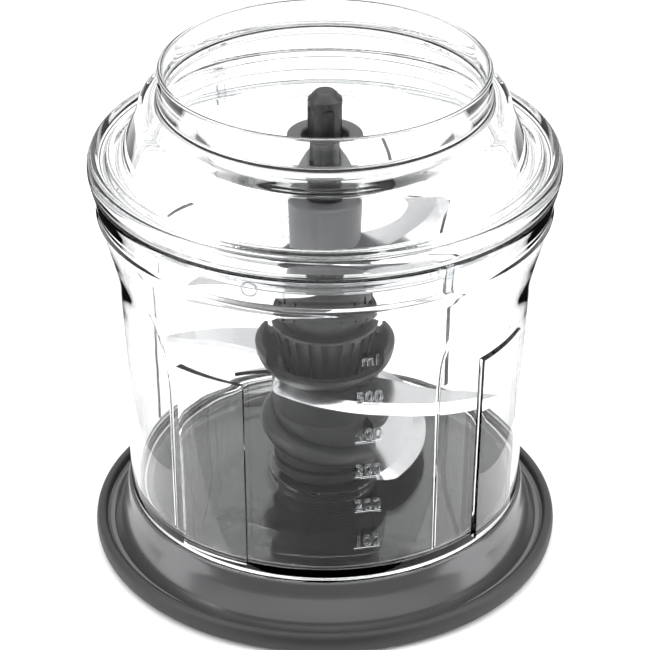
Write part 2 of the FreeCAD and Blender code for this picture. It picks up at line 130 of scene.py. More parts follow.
def start_pencil(name, place):
    """A new mesh that holds one selected point."""
    deselect_all()
    bpy.ops.mesh.primitive_plane_add(size=0.001, location=(0, 0, 0))
    piece = bpy.context.object
    piece.name = name
    piece.data.name = name
    bpy.ops.object.mode_set(mode="EDIT")
    bpy.ops.mesh.select_all(action="SELECT")
    bpy.ops.mesh.merge(type="CENTER")
    bpy.ops.transform.translate(value=place)
    return piece


def draw_outline(name, points):
    """Extrude one point around an outline, in metres; it is closed unless it ends on the axis."""
    piece = start_pencil(name, points[0])
    for before, after in zip(points, points[1:]):
        bpy.ops.mesh.extrude_region_move(
            TRANSFORM_OT_translate={"value": Vector(after) - Vector(before)})
    ends = [Vector(points[0]), Vector(points[-1])]
    if max(abs(end.x) + abs(end.y) for end in ends) > 1e-6:
        select_points(piece, lambda co: min((co - end).length for end in ends) < 1e-6)
        bpy.ops.mesh.edge_face_add()
    return piece


def round_corners(piece, corners):
    for radius, height, rounding in corners:
        spot = Vector((radius * MM, 0, height * MM))
        if rounding and select_points(piece, lambda co: (co - spot).length < 2e-6):
            bpy.ops.mesh.bevel(offset=rounding * MM, offset_type="OFFSET", segments=4,
                               affect="VERTICES", clamp_overlap=True)


def spun(name, corners, steps=STEPS, smooth=35):
    """A round piece from its half outline, given as (radius, height, rounding)."""
    corners = [corner if len(corner) == 3 else (*corner, 0) for corner in corners]
    piece = draw_outline(name, [(r * MM, 0, z * MM) for r, z, _ in corners])
    round_corners(piece, corners)
    bpy.ops.mesh.select_all(action="SELECT")
    bpy.ops.mesh.spin(steps=steps, angle=math.tau, center=(0, 0, 0), axis=(0, 0, 1))
    bpy.ops.mesh.select_all(action="SELECT")
    bpy.ops.mesh.remove_doubles(threshold=1e-6)
    bpy.ops.mesh.dissolve_degenerate(threshold=1e-7)
    bpy.ops.mesh.normals_make_consistent(inside=False)
    bpy.ops.object.mode_set(mode="OBJECT")
    bpy.ops.object.shade_smooth_by_angle(angle=math.radians(smooth))
    print(name, "faces:", len(piece.data.polygons))
    return piece


def stands_for(piece, body, *nodes):
    """Hide the measured nodes and let the piece move with their body."""
    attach(piece, body)
    if nodes:
        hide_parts(*nodes)


def polar(radius, azimuth, height=0.0):
    """Millimetres; the azimuth runs from -Y towards +X."""
    angle = math.radians(azimuth)
    return Vector((radius * math.sin(angle), -radius * math.cos(angle), height)) * MM


def eased(stations, parts):
    """More stations on smooth curves through the given ones."""
    fine = []
    for i in range(len(stations) - 1):
        four = [stations[max(0, i - 1)], stations[i], stations[i + 1],
                stations[min(len(stations) - 1, i + 2)]]
        for step in range(parts):
            t = step / parts
            weights = (-t + 2 * t * t - t ** 3, 2 - 5 * t * t + 3 * t ** 3,
                       t + 4 * t * t - 3 * t ** 3, t ** 3 - t * t)
            fine.append(tuple(sum(w * point[k] for w, point in zip(weights, four)) / 2
                              for k in range(len(stations[0]))))
    return fine + [stations[-1]]


# %% [markdown]
# Shader maths reads best as plain sums, so a small class wraps a socket and turns Python's
# operators into Math nodes. One method adds any other node.

# %% A small language for materials
class Wire:
    def __init__(self, kit, socket):
        self.kit = kit
        self.socket = socket

    def _maths(self, operation, first, second):
        return self.kit.node("ShaderNodeMath", {"operation": operation}, {0: first, 1: second})[0]

    def __add__(self, other):
        return self._maths("ADD", self, other)

    def __radd__(self, other):
        return self._maths("ADD", other, self)

    def __sub__(self, other):
        return self._maths("SUBTRACT", self, other)

    def __rsub__(self, other):
        return self._maths("SUBTRACT", other, self)

    def __mul__(self, other):
        return self._maths("MULTIPLY", self, other)

    def __rmul__(self, other):
        return self._maths("MULTIPLY", other, self)


class Finish:
    """A material in the making."""

    def __init__(self, name):
        self.material = bpy.data.materials.new(name)
        self.material.use_nodes = True
        self.tree = self.material.node_tree
        self.shader = self.tree.nodes["Principled BSDF"]
        self.place = self.node("ShaderNodeTexCoord", {}, {})[3]

    def node(self, kind, settings, values):
        made = self.tree.nodes.new(kind)
        for key, value in settings.items():
            setattr(made, key, value)
        for key, value in values.items():
            if isinstance(value, Wire):
                self.tree.links.new(value.socket, made.inputs[key])
            else:
                made.inputs[key].default_value = value
        return [Wire(self, socket) for socket in made.outputs]

    def noise(self, scale, detail=3.0, roughness=0.5, stretch=(1, 1, 1)):
        """Soft noise from 0 to 1; the scale is in patches per metre."""
        spread = self.node("ShaderNodeMapping", {}, {0: self.place, 3: stretch})[0]
        return self.node("ShaderNodeTexNoise", {}, {
            "Vector": spread, "Scale": scale, "Detail": detail, "Roughness": roughness})[0]

    def blend_colours(self, share, first, second):
        return self.node("ShaderNodeMix", {"data_type": "RGBA"}, {
            0: share, 6: (*first, 1), 7: (*second, 1)})[2]

    def bump(self, height, distance, strength=1.0):
        return self.node("ShaderNodeBump", {}, {
            "Height": height, "Distance": distance, "Strength": strength})[0]

    def set(self, **values):
        for key, value in values.items():
            socket = self.shader.inputs[key.replace("_", " ")]
            if isinstance(value, Wire):
                self.tree.links.new(value.socket, socket)
            else:
                socket.default_value = value
        return self


def dress(finish, *pieces):
    for piece in pieces:
        piece.data.materials.clear()
        piece.data.materials.append(finish.material)


# %% [markdown]
# The bowl and the lid are clear copolyester: colourless, polished, with an index near 1.5. Moulded
# sheet is never quite flat, so a long soft bump bends reflections a little, and faint wiping marks
# change the roughness. A grey tint on its reflections keeps the white room off the dark hubs
# inside and draws the rims in grey lines.

# %% Clear plastic
def clear_plastic(name, tint, wave):
    finish = Finish(name)
    flow = finish.noise(28, 2, 0.4, (1, 1, 0.35))
    wipe = finish.noise(140, 4, 0.6, (1, 1, 3))
    colour = finish.blend_colours(flow, tint, tuple(min(1, c * 1.01) for c in tint))
    return finish.set(Base_Color=colour, Roughness=0.004 + wipe * 0.02, IOR=1.5,
                      Transmission_Weight=1.0, Specular_Tint=(0.5, 0.5, 0.5, 1),
                      Normal=finish.bump(flow, 0.0006, wave))


clear_wall = clear_plastic("clear_wall", (0.985, 0.99, 0.992), 0.10)
clear_mark = clear_plastic("clear_mark", (0.80, 0.81, 0.82), 0.05)
print("clear finishes:", clear_wall.material.name, clear_mark.material.name)

# %% [markdown]
# The hubs are satin glass-filled nylon: dark, with a fine spark-eroded grain. The base plate is
# polished instead, and its rim is a soft moulded rubber. All three share one recipe that mixes a
# fine grain with a broad cloudiness and a few fine scratches.

# %% Dark plastics and rubber
def moulded(name, dark, light, rough, spread, grain, depth, coat=0.0):
    """Two colours, the roughness and its spread, patches of grain per metre, and its depth."""
    finish = Finish(name)
    cloud = finish.noise(45, 3, 0.5)
    speck = finish.noise(grain, 5, 0.7)
    scratch = finish.noise(260, 2, 0.5, (1, 1, 9))
    share = cloud * 0.65 + speck * 0.35
    colour = finish.blend_colours(share, dark, light)
    roughness = rough - spread / 2 + spread * cloud + 0.12 * spread * scratch
    return finish.set(Base_Color=colour, Roughness=roughness, Coat_Weight=coat,
                      Coat_Roughness=0.12, Normal=finish.bump(speck, 0.0002, depth))


satin_hub = moulded("satin_hub", (0.015, 0.015, 0.016), (0.027, 0.027, 0.029),
                    0.40, 0.10, 2600, 0.10)
satin_knob = moulded("satin_knob", (0.016, 0.016, 0.017), (0.029, 0.029, 0.031),
                     0.38, 0.10, 2600, 0.10)
satin_cup = moulded("satin_cup", (0.024, 0.024, 0.025), (0.040, 0.040, 0.042),
                    0.44, 0.10, 2600, 0.10)
satin_bush = moulded("satin_bush", (0.060, 0.060, 0.062), (0.090, 0.090, 0.093),
                     0.42, 0.10, 2400, 0.08)
satin_sleeve = moulded("satin_sleeve", (0.12, 0.12, 0.125), (0.18, 0.18, 0.185),
                       0.42, 0.10, 2400, 0.08)
polished_base = moulded("polished_base", (0.12, 0.12, 0.124), (0.16, 0.16, 0.165), 0.20, 0.05,
                        1500, 0.02, 0.6)
polished_base.set(Metallic=0.55)
seat_plastic = moulded("seat_plastic", (0.008, 0.008, 0.009), (0.014, 0.014, 0.016), 0.16, 0.06,
                       1500, 0.02)
grip_rubber = moulded("grip_rubber", (0.018, 0.018, 0.019), (0.032, 0.032, 0.034), 0.50, 0.12,
                      3200, 0.22)
pale_bush = moulded("pale_bush", (0.60, 0.59, 0.56), (0.70, 0.69, 0.66), 0.35, 0.08, 1800, 0.05)

# %% [markdown]
# Blade steel is ground across its bevel. Noise that is squeezed along one direction draws the
# grinding lines, and it drives both the roughness and a very shallow bump.


# %% Steel
def steel(name, dark, light, rough, lines):
    finish = Finish(name)
    ground = finish.noise(900, 3, 0.6, lines)
    stain = finish.noise(60, 3, 0.5)
    colour = finish.blend_colours(ground * 0.6 + stain * 0.4, dark, light)
    return finish.set(Base_Color=colour, Metallic=1.0, Roughness=rough + 0.12 * ground,
                      Normal=finish.bump(ground, 0.0001, 0.15))


blade_steel = steel("blade_steel", (0.62, 0.62, 0.63), (0.80, 0.80, 0.81), 0.14, (0.12, 1.6, 1))
turned_steel = steel("turned_steel", (0.50, 0.50, 0.51), (0.66, 0.66, 0.67), 0.22, (0.2, 0.2, 3))
print("steel finishes:", blade_steel.material.name, turned_steel.material.name)

# %% [markdown]
# ## The base plate
# The plate has a raised seat for the bowl and a polished slope down to a groove. A rolled rim
# runs around it. One outline each, spun, is all that they need.

# %% Base plate, mat and rim
base_plate = spun("base_plate", [
    (0, 16.5), (56.5, 16.5, 0.1), (56.6, 17.5, 0.1), (57.0, 17.5, 0.15), (57.3, 16.2, 0.5),
    (57.9, 13.4, 1.0), (60.6, 5.4, 1.6), (61.6, 4.1, 0.4),
    (62.6, 3.9, 0.4), (63.7, 4.6), (63.7, 2.0), (57.0, 2.0), (53.7, 14.3, 1.0), (0, 14.3)])
stands_for(base_plate, "base", "base_tray")
seat_disc = spun("seat_disc", [
    (0, 16.5), (50.0, 16.5), (50.0, 17.0, 0.2), (46.0, 17.0, 0.1), (45.6, 16.8, 0.1),
    (44.6, 16.8, 0.1), (44.2, 17.0, 0.1), (0, 17.0)])
stands_for(seat_disc, "base", "seat_mat")
dress(polished_base, base_plate)
dress(seat_plastic, seat_disc)
grip_rim = spun("grip_rim", [
    (63.7, 0.5), (66.2, 0.5, 1.4), (67.05, 3.2, 1.4), (66.4, 6.9, 1.5), (64.0, 6.8, 0.7),
    (63.7, 5.6)])
stands_for(grip_rim, "base", "base_grip_rim")
foot_ring = spun("foot_ring_soft", [
    (57.0, 2.0), (57.0, 0.0, 0.4), (59.0, 0.0, 0.1), (59.2, 0.3, 0.1), (60.2, 0.3, 0.1),
    (60.4, 0.0, 0.1), (62.4, 0.0, 0.4), (62.4, 2.0)])
stands_for(foot_ring, "base", "foot_ring")
dress(grip_rubber, grip_rim, foot_ring)

# %% [markdown]
# ## The bowl
# The wall is one closed outline, outside and inside. A clear wall shows every change of thickness
# as a bent picture of what is behind it, so the sweep of the side is a smooth curve through evenly
# spaced stations. The inside is the same curve, shifted in and slightly down, which keeps both
# surfaces parallel along a line of sight from above.

# %% The bowl's wall
INWARD, DOWN = 2.3, 0.6
STATIONS = [(56.3, 23), (56.35, 31), (56.5, 39), (56.65, 47), (56.8, 55), (56.95, 63),
            (57.1, 71), (57.35, 79), (58.1, 87), (59.85, 95), (62.05, 103)]
SWEEP = [(56.3, 21.0)] + eased(STATIONS, 8)
INSIDE = [(r - INWARD, z - DOWN) for r, z in reversed(SWEEP[1:])]
BOWL = [
    (0, 17.4), (52.4, 17.4, 0.3), (53.4, 16.8, 0.2), (55.7, 16.8, 0.2), (56.3, 17.4, 0.2),
    *SWEEP, (62.5, 104.6, 0.3), (63.0, 106, 0.5),
    (62.45, 107.4, 0.3), (63.6, 113, 1), (64.4, 116, 0.6), (62.5, 116, 0.6), (60.4, 106, 1),
    *INSIDE, (54.0, 21.4, 1.2), (52.6, 19.5, 1.2), (16.4, 19.5, 0.1), (16.1, 20.3, 0.25),
    (15.5, 20.3, 0.25), (15.2, 19.5, 0.1), (4.2, 19.5, 0.3), (4.2, 21.0, 0.2), (0, 21.0)]
bowl_wall = spun("bowl_wall", BOWL, steps=180, smooth=40)


# %% Helpers for joining and for upright slabs
def join_solid(target, tool, operation="UNION"):
    """Apply a Boolean and remove the tool."""
    deselect_all()
    bpy.context.view_layer.objects.active = target
    boolean = target.modifiers.new("join", "BOOLEAN")
    boolean.object = tool
    boolean.operation = operation
    boolean.solver = "EXACT"
    bpy.ops.object.modifier_apply(modifier="join")
    bpy.data.objects.remove(tool)


def upright_slab(name, points, low, high, edge=0.0):
    """A closed outline in the horizontal plane, filled and extruded upwards."""
    slab = draw_outline(name, [Vector((p.x, p.y, low * MM)) for p in points])
    bpy.ops.mesh.select_all(action="SELECT")
    bpy.ops.mesh.edge_face_add()
    bpy.ops.mesh.extrude_region_move(
        TRANSFORM_OT_translate={"value": (0, 0, (high - low) * MM)})
    bpy.ops.mesh.select_all(action="SELECT")
    bpy.ops.mesh.normals_make_consistent(inside=False)
    if edge:
        bpy.ops.mesh.bevel(offset=edge * MM, segments=2, affect="EDGES")
    bpy.ops.object.mode_set(mode="OBJECT")
    return slab


# %% [markdown]
# Four grip panels stand proud of the wall. Each has a tall step at one edge and a lower one at the
# other. The faces of a panel are selected on the wall itself and extruded, and then each column of
# points is moved out by its own amount, so that the clear wall stays a single skin.

# %% Grip panels
PANELS = [(-42, -22), (46, 66), (138, 158), (226, 246)]
PROUD, MORE_AT_STEP, SLOPE = 1.022, 1.012, 0.016
PANEL_TOP = min(z for r, z in SWEEP if z > 78.9)


def at_azimuth(co, start, end):
    turn = math.degrees(math.atan2(co.x, -co.y))
    return any(start - 0.1 < turn + whole < end + 0.1 for whole in (0, 360))


for start, end in PANELS:
    deselect_all()
    bpy.context.view_layer.objects.active = bowl_wall
    bpy.ops.object.mode_set(mode="EDIT")
    select_points(bowl_wall, lambda co: math.hypot(co.x, co.y) > 56.2 * MM
                  and 20.9 * MM < co.z < (PANEL_TOP + 0.05) * MM and at_azimuth(co, start, end))
    bpy.ops.mesh.select_mode(type="FACE")
    bpy.ops.mesh.extrude_region_move(TRANSFORM_OT_translate={"value": (0, 0, 0)})
    bpy.ops.transform.resize(value=(PROUD, PROUD, 1), center_override=(0, 0, 0))
    bpy.ops.mesh.select_mode(type="VERT")
    for column in range(start, end + 1, 2):
        select_points(bowl_wall, lambda co: math.hypot(co.x, co.y) > 57.45 * MM
                      and co.z < (PANEL_TOP + 0.05) * MM and at_azimuth(co, column, column))
        more = MORE_AT_STEP - SLOPE * (column - start) / (end - start)
        bpy.ops.transform.resize(value=(more, more, 1), center_override=(0, 0, 0))
    bpy.ops.object.mode_set(mode="OBJECT")
deselect_all()
bpy.context.view_layer.objects.active = bowl_wall
bowl_wall.select_set(True)
bpy.ops.object.shade_smooth_by_angle(angle=math.radians(40))
widest = max(math.hypot(v.co.x, v.co.y) for v in bowl_wall.data.vertices if v.co.z < 0.08)
print("bowl faces with panels:", len(bowl_wall.data.polygons), "panel radius:", widest)
stands_for(bowl_wall, "bowl_body", "bowl")
dress(clear_wall, bowl_wall)

# %% [markdown]
# ## The lid
# From its edge in, the lid has a rolled rim, two small ridges in a trough, a dome, a shoulder and
# the open collar. Inside the collar it falls to a plate that carries the guide bush.

# %% The lid's shell
LID = [
    (7.9, 122.6), (33, 122.6, 3), (41, 132.2, 4), (45.5, 136.2, 1), (47.6, 136.2, 1.5),
    (48.8, 133.1, 1.5), (54.5, 118.8, 1), (55.7, 109, 0.5), (58.2, 109, 0.5), (58.6, 110, 0.4),
    (58.6, 116.4, 0.3), (64.2, 116.4, 0.5), (64.75, 117.4, 0.6), (64.75, 120.6, 1.2),
    (63.8, 122, 1.0), (62.2, 122, 0.8), (61.2, 120.8, 0.5), (60.0, 120.8, 0.4),
    (59.2, 121.8, 0.5), (58.1, 121.8, 0.5), (56.5, 120.6, 0.6), (50.8, 133.5, 2),
    (50.2, 136.7, 1.6), (48.4, 138.2, 1.0), (45.5, 138.2, 0.3), (45.1, 138.8, 0.3),
    (45.1, 146.5, 0.7), (43.5, 146.5, 0.6), (43.5, 136.2, 1), (40.3, 133.2, 2),
    (31.6, 124.4, 3), (7.9, 124.4, 0.2)]
lid_shell = spun("lid_shell", LID, steps=180, smooth=40)
stands_for(lid_shell, "lid_body", "lid")
dress(clear_wall, lid_shell)
seal_ring = spun("seal_ring", [
    (58.6, 111.0), (59.6, 111.2, 0.3), (60.4, 112.0, 0.4), (59.7, 112.6, 0.2), (60.4, 113.2, 0.4),
    (59.6, 114.0, 0.3), (58.6, 114.2)])
stands_for(seal_ring, "lid_body", "lid_seal")
dress(clear_mark, seal_ring)

# %% The guide bush in the lid
guide_disc = spun("guide_disc", [
    (6.4, 122.3), (7.6, 122.3), (7.6, 124.7), (10.4, 124.7, 0.2), (10.4, 126.0, 0.3),
    (6.8, 126.0, 0.2), (6.4, 125.5, 0.2)], 96)
stands_for(guide_disc, "bush_body", "lid_bush")
guide_cup = spun("guide_cup", [
    (6.4, 122.3), (10.4, 122.3, 0.2), (10.4, 121.6, 0.3), (8.6, 120.0, 1.0), (7.3, 118.6, 0.3),
    (6.4, 118.6)], 96)
stands_for(guide_cup, "bush_body", "bush_retainer")
dress(satin_bush, guide_disc)
dress(satin_hub, guide_cup)

# %% [markdown]
# ## The drive line and the hubs
# The hubs are turned pieces on one steel tube. The flutes of the knob and the splined tip are cut
# by one cutter each, which is copied around the axis.


# %% Cutters around the axis
def ring_of_cutters(cutter, count):
    """Copy a cutter around Z, each copy with its own mesh, and join them."""
    copies = [cutter]
    for number in range(1, count):
        copy = cutter.copy()
        copy.data = cutter.data.copy()
        bpy.context.collection.objects.link(copy)
        copy.data.transform(Matrix.Rotation(math.tau * number / count, 4, "Z"))
        copies.append(copy)
    deselect_all()
    for copy in copies:
        copy.select_set(True)
    bpy.context.view_layer.objects.active = cutter
    bpy.ops.object.join()
    return cutter


def smooth_again(piece, angle=35):
    deselect_all()
    piece.select_set(True)
    bpy.context.view_layer.objects.active = piece
    bpy.ops.object.shade_smooth_by_angle(angle=math.radians(angle))


# %% The splined tip
spline_tip = spun("spline_tip", [
    (2.4, 106.5), (4.76, 106.5, 0.2), (4.76, 136.7, 0.3), (2.6, 139, 0.3), (0, 139),
    (0, 134), (2.4, 134)], 80)
flute = spun("flute_cutter", [(0, 111), (2.5, 111), (2.5, 135.4, 1.8), (0, 135.4)], 40)
flute.data.transform(Matrix.Translation(polar(6.3, 12)))
join_solid(spline_tip, ring_of_cutters(flute, 5), "DIFFERENCE")
smooth_again(spline_tip)
stands_for(spline_tip, "blade_unit", "drive_spindle")
dress(satin_hub, spline_tip)
print("tip faces:", len(spline_tip.data.polygons))

# %% The knob with flutes
knob = spun("knob_fluted", [
    (4.5, 54.2), (11.7, 54.2, 0.3), (15.2, 69.1, 0.3), (14.9, 69.5, 0.1), (13.4, 69.5, 0.2),
    (13.2, 69.1, 0.2), (4.5, 69.1)], 144)
slot_points = [(10.8, 53.8), (14.0, 53.8), (18.0, 68.5), (14.1, 68.5)]
slot = draw_outline("knob_slot", [(r * MM, -0.85 * MM, z * MM) for r, z in slot_points])
bpy.ops.mesh.select_all(action="SELECT")
bpy.ops.mesh.edge_face_add()
bpy.ops.mesh.extrude_region_move(TRANSFORM_OT_translate={"value": (0, 1.7 * MM, 0)})
bpy.ops.mesh.select_all(action="SELECT")
bpy.ops.mesh.normals_make_consistent(inside=False)
bpy.ops.object.mode_set(mode="OBJECT")
join_solid(knob, ring_of_cutters(slot, 24), "DIFFERENCE")
smooth_again(knob)
stands_for(knob, "blade_unit", "fluted_knob")

# %% Plain hubs
foot_hub = spun("foot_hub", [
    (4.5, 21.7), (14.0, 21.7, 0.3), (14.7, 22.4, 0.4), (14.7, 25.0, 0.1), (4.5, 25.0)])
stands_for(foot_hub, "blade_unit", "hub_foot")
drum = spun("drum_plain", [
    (4.5, 42.0), (15.1, 42.0, 0.2), (15.1, 53.5, 0.2), (4.5, 53.5)])
stands_for(drum, "blade_unit", "middle_drum")
neck = spun("neck_plain", [
    (4.5, 69.5), (11.9, 69.5, 0.2), (11.9, 75.0, 0.2), (4.5, 75.0)])
stands_for(neck, "blade_unit", "neck_spacer")
dress(satin_knob, knob)
dress(satin_hub, foot_hub, drum, neck)

# %% [markdown]
# The saddle is a cup with two ears. It is spun as a full cup, and one cutter takes the front and
# the back of its rim away, which leaves the ears.

# %% The saddle with its two ears
saddle = spun("saddle_cup", [
    (4.5, 53.5), (15.4, 53.5, 0.4), (16.0, 54.6, 0.4), (18.2, 56.8, 1.2), (19.6, 59.6, 1.5),
    (19.9, 63.0, 0.8), (18.0, 63.0, 0.8), (17.4, 59.8, 1.5), (16.1, 57.0, 1.2),
    (13.6, 54.2, 0.6), (4.5, 54.2)], 144)
deselect_all()
gap_points = [(-14.0, 59.2), (14.0, 59.2), (15.6, 59.6), (16.4, 60.8), (16.8, 69.0),
              (-16.8, 69.0), (-16.4, 60.8), (-15.6, 59.6)]
gap = draw_outline("saddle_gap", [(x * MM, -30 * MM, z * MM) for x, z in gap_points])
bpy.ops.mesh.select_all(action="SELECT")
bpy.ops.mesh.edge_face_add()
bpy.ops.mesh.extrude_region_move(TRANSFORM_OT_translate={"value": (0, 60 * MM, 0)})
bpy.ops.mesh.select_all(action="SELECT")
bpy.ops.mesh.normals_make_consistent(inside=False)
bpy.ops.object.mode_set(mode="OBJECT")
join_solid(saddle, gap, "DIFFERENCE")
smooth_again(saddle)
stands_for(saddle, "blade_unit", "saddle_wing")
dress(satin_cup, saddle)

# %% [markdown]
# ## The winding ridge
# The lower hub is a drum with two rounded ridges that wind down around it. Closed sections are
# drawn one after the other along the winding line, and Bridge Edge Loops skins them.


# %% A skin over closed sections
def skinned(name, sections, smooth=40):
    """Bridge closed sections, each a list of points in metres, and close both ends."""
    parts = []
    for number, section in enumerate(sections):
        parts.append(draw_outline(f"{name}_{number}", section))
        bpy.ops.object.mode_set(mode="OBJECT")
    deselect_all()
    for part in parts:
        part.select_set(True)
    bpy.context.view_layer.objects.active = parts[0]
    bpy.ops.object.join()
    piece = parts[0]
    piece.name = name
    bpy.ops.object.mode_set(mode="EDIT")
    bpy.ops.mesh.select_all(action="SELECT")
    bpy.ops.mesh.bridge_edge_loops()
    for end in (sections[0], sections[-1]):
        spots = [Vector(point) for point in end]
        select_points(piece, lambda co: min((co - spot).length for spot in spots) < 2e-6)
        bpy.ops.mesh.edge_face_add()
    bpy.ops.mesh.select_all(action="SELECT")
    bpy.ops.mesh.normals_make_consistent(inside=False)
    bpy.ops.object.mode_set(mode="OBJECT")
    smooth_again(piece, smooth)
    print(name, "faces:", len(piece.data.polygons))
    return piece


# %% The lower hub
RIDGE_FROM, RIDGE_TO = -128.0, 55.0
ridge_sections = []
for i in range(21):
    share = i / 20
    azimuth = RIDGE_FROM + (RIDGE_TO - RIDGE_FROM) * share
    middle = 39.4 + (29.3 - 39.4) * (share ** 1.1)
    reach = 18.9 - 1.6 * abs(2 * share - 1) ** 3
    half = 2.9
    shape = [(12.0, -half), (reach - 2.2, -half), (reach - 0.7, -half * 0.72), (reach, -0.5),
             (reach - 0.4, 1.0), (reach - 1.6, 2.0), (reach - 3.2, half), (12.0, half)]
    ridge_sections.append([polar(r, azimuth, middle + lift) for r, lift in shape])
ridge = skinned("winding_ridge", ridge_sections, 50)
lower_hub = spun("lower_hub", [
    (4.5, 26.3), (14.7, 26.3, 0.2), (14.7, 41.8, 0.3), (4.5, 41.8)], 120)
join_solid(lower_hub, ring_of_cutters(ridge, 2))
smooth_again(lower_hub, 45)
stands_for(lower_hub, "blade_unit", "helical_wing")
dress(satin_hub, lower_hub)

# %% The measured pieces that keep their shape
dress(satin_hub, bpy.data.objects["upper_hub"])
dress(satin_sleeve, bpy.data.objects["drive_sleeve"])
dress(turned_steel, *[bpy.data.objects[n] for n in ("pivot_pin", "stack_tube", "drive_core")])
dress(pale_bush, *[bpy.data.objects[n] for n in ("thrust_washer", "bearing_bush")])

# %% [markdown]
# ## The blades
# A blade is a thin steel sheet with a wide ground bevel along its outer edge. Each one is skinned
# over small sections: the back edge, the line where the bevel begins and the sharp edge. The
# sections between the given stations follow smooth curves.


# %% Blades from sections
def blade(name, stations, low, thick=1.3):
    """Stations are (edge radius, azimuth, bevel width, back radius, back azimuth)."""
    sections = []
    for edge_radius, azimuth, bevel, back_radius, back_azimuth in eased(stations, 4):
        edge = polar(edge_radius, azimuth)
        back = polar(back_radius, back_azimuth)
        inward = (back - edge).normalized() * min(bevel * MM, (back - edge).length * 0.9)
        ground = edge + inward
        rise = Vector((0, 0, thick * MM))
        floor = Vector((0, 0, low * MM))
        sections.append([back + floor, back + floor + rise, ground + floor + rise,
                         edge + floor + rise * 0.12, edge + floor])
    return skinned(name, sections, 6)


middle_stations = [
    (15.8, -66, 0.4, 12.0, -64), (18.3, -52, 3.0, 8.0, -50), (18.2, -37, 2.8, 6.0, -36),
    (18.6, -20, 3.0, 6.0, -20), (20.5, 0, 3.2, 6.0, 10), (22.8, 13, 3.4, 8.0, 40),
    (26.0, 25, 3.5, 11.0, 60), (29.9, 36, 3.6, 18.0, 66), (36.0, 47, 3.6, 26.0, 66),
    (41.8, 56, 3.4, 34.0, 67), (46.8, 63.5, 2.8, 42.0, 70), (49.9, 70.8, 0.5, 49.2, 71.2)]
arm_front = blade("middle_blade_arm", middle_stations, 51.6, 1.9)
arm_back = arm_front.copy()
arm_back.data = arm_front.data.copy()
bpy.context.collection.objects.link(arm_back)
arm_back.name = "middle_blade_back"
arm_back.data.transform(Matrix.Rotation(math.pi, 4, "Z"))
lower_stations = [
    (22.0, 42, 0.6, 20.6, 43), (25.2, 51, 3.8, 11.0, 55), (25.8, 64, 4.0, 9.0, 70),
    (27.0, 80, 4.2, 6.0, 84), (29.2, 97, 4.2, 6.0, 100), (31.9, 111, 4.2, 12.0, 116),
    (35.3, 124, 4.2, 18.0, 128), (39.2, 136, 4.2, 25.0, 139), (44.2, 147, 4.2, 31.0, 149),
    (47.5, 158, 4.0, 36.0, 160), (49.3, 175, 3.6, 40.0, 176), (49.9, 195, 3.0, 44.5, 196),
    (49.6, 214, 0.5, 49.0, 214.4)]
low_arm = blade("lower_blade_arm", lower_stations, 25.0)
stands_for(arm_front, "blade_unit", "middle_blade")
stands_for(arm_back, "blade_unit")
stands_for(low_arm, "blade_unit", "lower_blade")
dress(blade_steel, arm_front, arm_back, low_arm)

# %% [markdown]
# The upper sheet has a level arm to the left and an arm that is bent up along a straight line. Both
# halves are skinned flat, with stations given in the sheet's plane, and the second is turned up
# about the bend.

# %% The bent upper blade
BEND = Vector((-11, 0, 78)) * MM
LEVEL = [((0, -9.6), 0.8, (0, 6.2)), ((-6, -9.4), 3.0, (-6, 6.2)), ((-12, -9.0), 3.6, (-12, 6.0)),
         ((-18, -8.4), 3.6, (-17, 4.6)), ((-24, -7.6), 3.0, (-22.5, 1.6)),
         ((-28.6, -6.0), 1.0, (-27.8, -3.4))]
RAISED = [((0, -9.6), 0.4, (0, 6.2)), ((7, -14.2), 0.5, (11, 6.8)), ((15, -16.4), 1.0, (19, 4.4)),
          ((26, -17), 3.0, (26, 2.0)), ((38, -15), 4.2, (31, 1.2)), ((47, -9), 4.4, (35.6, 2.2)),
          ((51.6, -1), 4.4, (38.2, 5.4)), ((50.6, 7), 4.0, (39.4, 9.4)),
          ((45.6, 13), 2.6, (39.2, 13)), ((38.6, 17.3), 0.4, (38.2, 16.6))]


def half_sheet(name, stations, angle):
    sections = []
    flat = [(*edge, bevel, *back) for edge, bevel, back in stations]
    for edge_x, edge_y, bevel, back_x, back_y in eased(flat, 4):
        edge, back = Vector((edge_x, edge_y, 0)) * MM, Vector((back_x, back_y, 0)) * MM
        ground = edge + (back - edge).normalized() * min(bevel * MM, (back - edge).length * 0.9)
        rise = Vector((0, 0, 1.3 * MM))
        sections.append([back, back + rise, ground + rise, edge + rise * 0.12, edge])
    half = skinned(name, sections, 6)
    half.data.transform(Matrix.Translation(BEND) @ Matrix.Rotation(math.radians(-angle), 4, "Y"))
    return half


level_half = half_sheet("upper_blade_level", LEVEL, 0)
raised_half = half_sheet("upper_blade_raised", RAISED, 27)
stands_for(level_half, "blade_unit", "upper_blade")
stands_for(raised_half, "blade_unit")
dress(blade_steel, level_half, raised_half)

# %% [markdown]
# The inside of the wall carries two raised ribs. Each starts under the skirt, curves down like an
# arch and ends upright near the floor. They are skinned over small sections that follow
# the wall.

# %% Arched ribs inside the wall
def bore_radius(height):
    """Close to the bore's radius. From 87 mm up the wall flares away faster, so the ends of the
    ribs stand up to 0.7 mm off it."""
    flare = max(0, (height - 79) / 13.5) ** 1.6
    return 54.4 + 0.5 * min(1, max(0, (height - 22) / 57)) + flare


ARCHES = [
    [(-70, 92.6), (-64, 92.4), (-59, 91.2), (-55, 88.6), (-52, 84.6), (-50, 79), (-48.6, 71),
     (-48, 62), (-48, 22)],
    [(45, 92.6), (41, 92.0), (37.6, 90.2), (35, 87), (33.4, 82.4), (32.7, 76), (32.5, 68),
     (32.5, 60), (32.5, 22)]]


